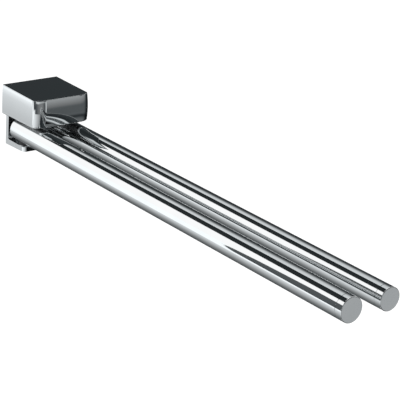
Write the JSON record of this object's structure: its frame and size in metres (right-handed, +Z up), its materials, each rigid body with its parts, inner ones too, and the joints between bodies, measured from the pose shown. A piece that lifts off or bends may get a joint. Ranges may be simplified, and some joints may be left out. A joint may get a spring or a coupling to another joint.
{
  "type": "swing arm towel bar",
  "caption": "Wall-mounted towel bar whose round chromed arms swing sideways between a square housing and a lip.",
  "frame": {"origin": "on the wall plane, midway between the two wall screw holes of the bracket", "axes": "+Y into the wall, arms reach along -Y at rest, +Z up, +X to the right of someone who faces the wall"},
  "size_m": [0.056, 0.45, 0.0551],
  "materials": {
    "polished_chrome": "polished chrome plate",
    "bracket_chrome": "polished chrome plate",
    "cap_chrome": "turned and polished chrome plate",
    "cast_zinc": "bright zinc casting",
    "screw_steel": "stainless fastener",
    "pin_steel": "ground stainless",
    "washer_steel": "stamped stainless",
    "bush_plastic": "moulded acetal",
    "hub_black": "black coated zinc"
  },
  "bodies": {
    "housing": {"cover": "polished_chrome", "wall_bracket": "bracket_chrome", "carrier": "cast_zinc", "carrier_screws": "screw_steel", "cover_screw": "screw_steel", "pivot_locknuts": "screw_steel", "left_pivot_pin": "pin_steel", "left_spring_washer": "washer_steel", "left_thrust_washer": "washer_steel", "right_pivot_pin": "pin_steel", "right_spring_washer": "washer_steel", "right_thrust_washer": "washer_steel"},
    "left_arm": {"left_upper_bush": "bush_plastic", "left_lower_bush": "bush_plastic", "left_arm_hub": "hub_black", "left_arm_tube": "polished_chrome", "left_end_cap": "cap_chrome"},
    "right_arm": {"right_upper_bush": "bush_plastic", "right_lower_bush": "bush_plastic", "right_arm_hub": "hub_black", "right_arm_tube": "polished_chrome", "right_end_cap": "cap_chrome"}
  },
  "joints": [
    {"name": "left_arm_swing", "type": "hinge", "parent": "housing", "child": "left_arm", "pos_m": [-0.018, -0.024, -0.02875], "axis": [0, 0, -1], "range_deg": [0, 90]},
    {"name": "right_arm_swing", "type": "hinge", "parent": "housing", "child": "right_arm", "pos_m": [0.018, -0.024, -0.02875], "axis": [0, 0, 1], "range_deg": [0, 90]}
  ]
}
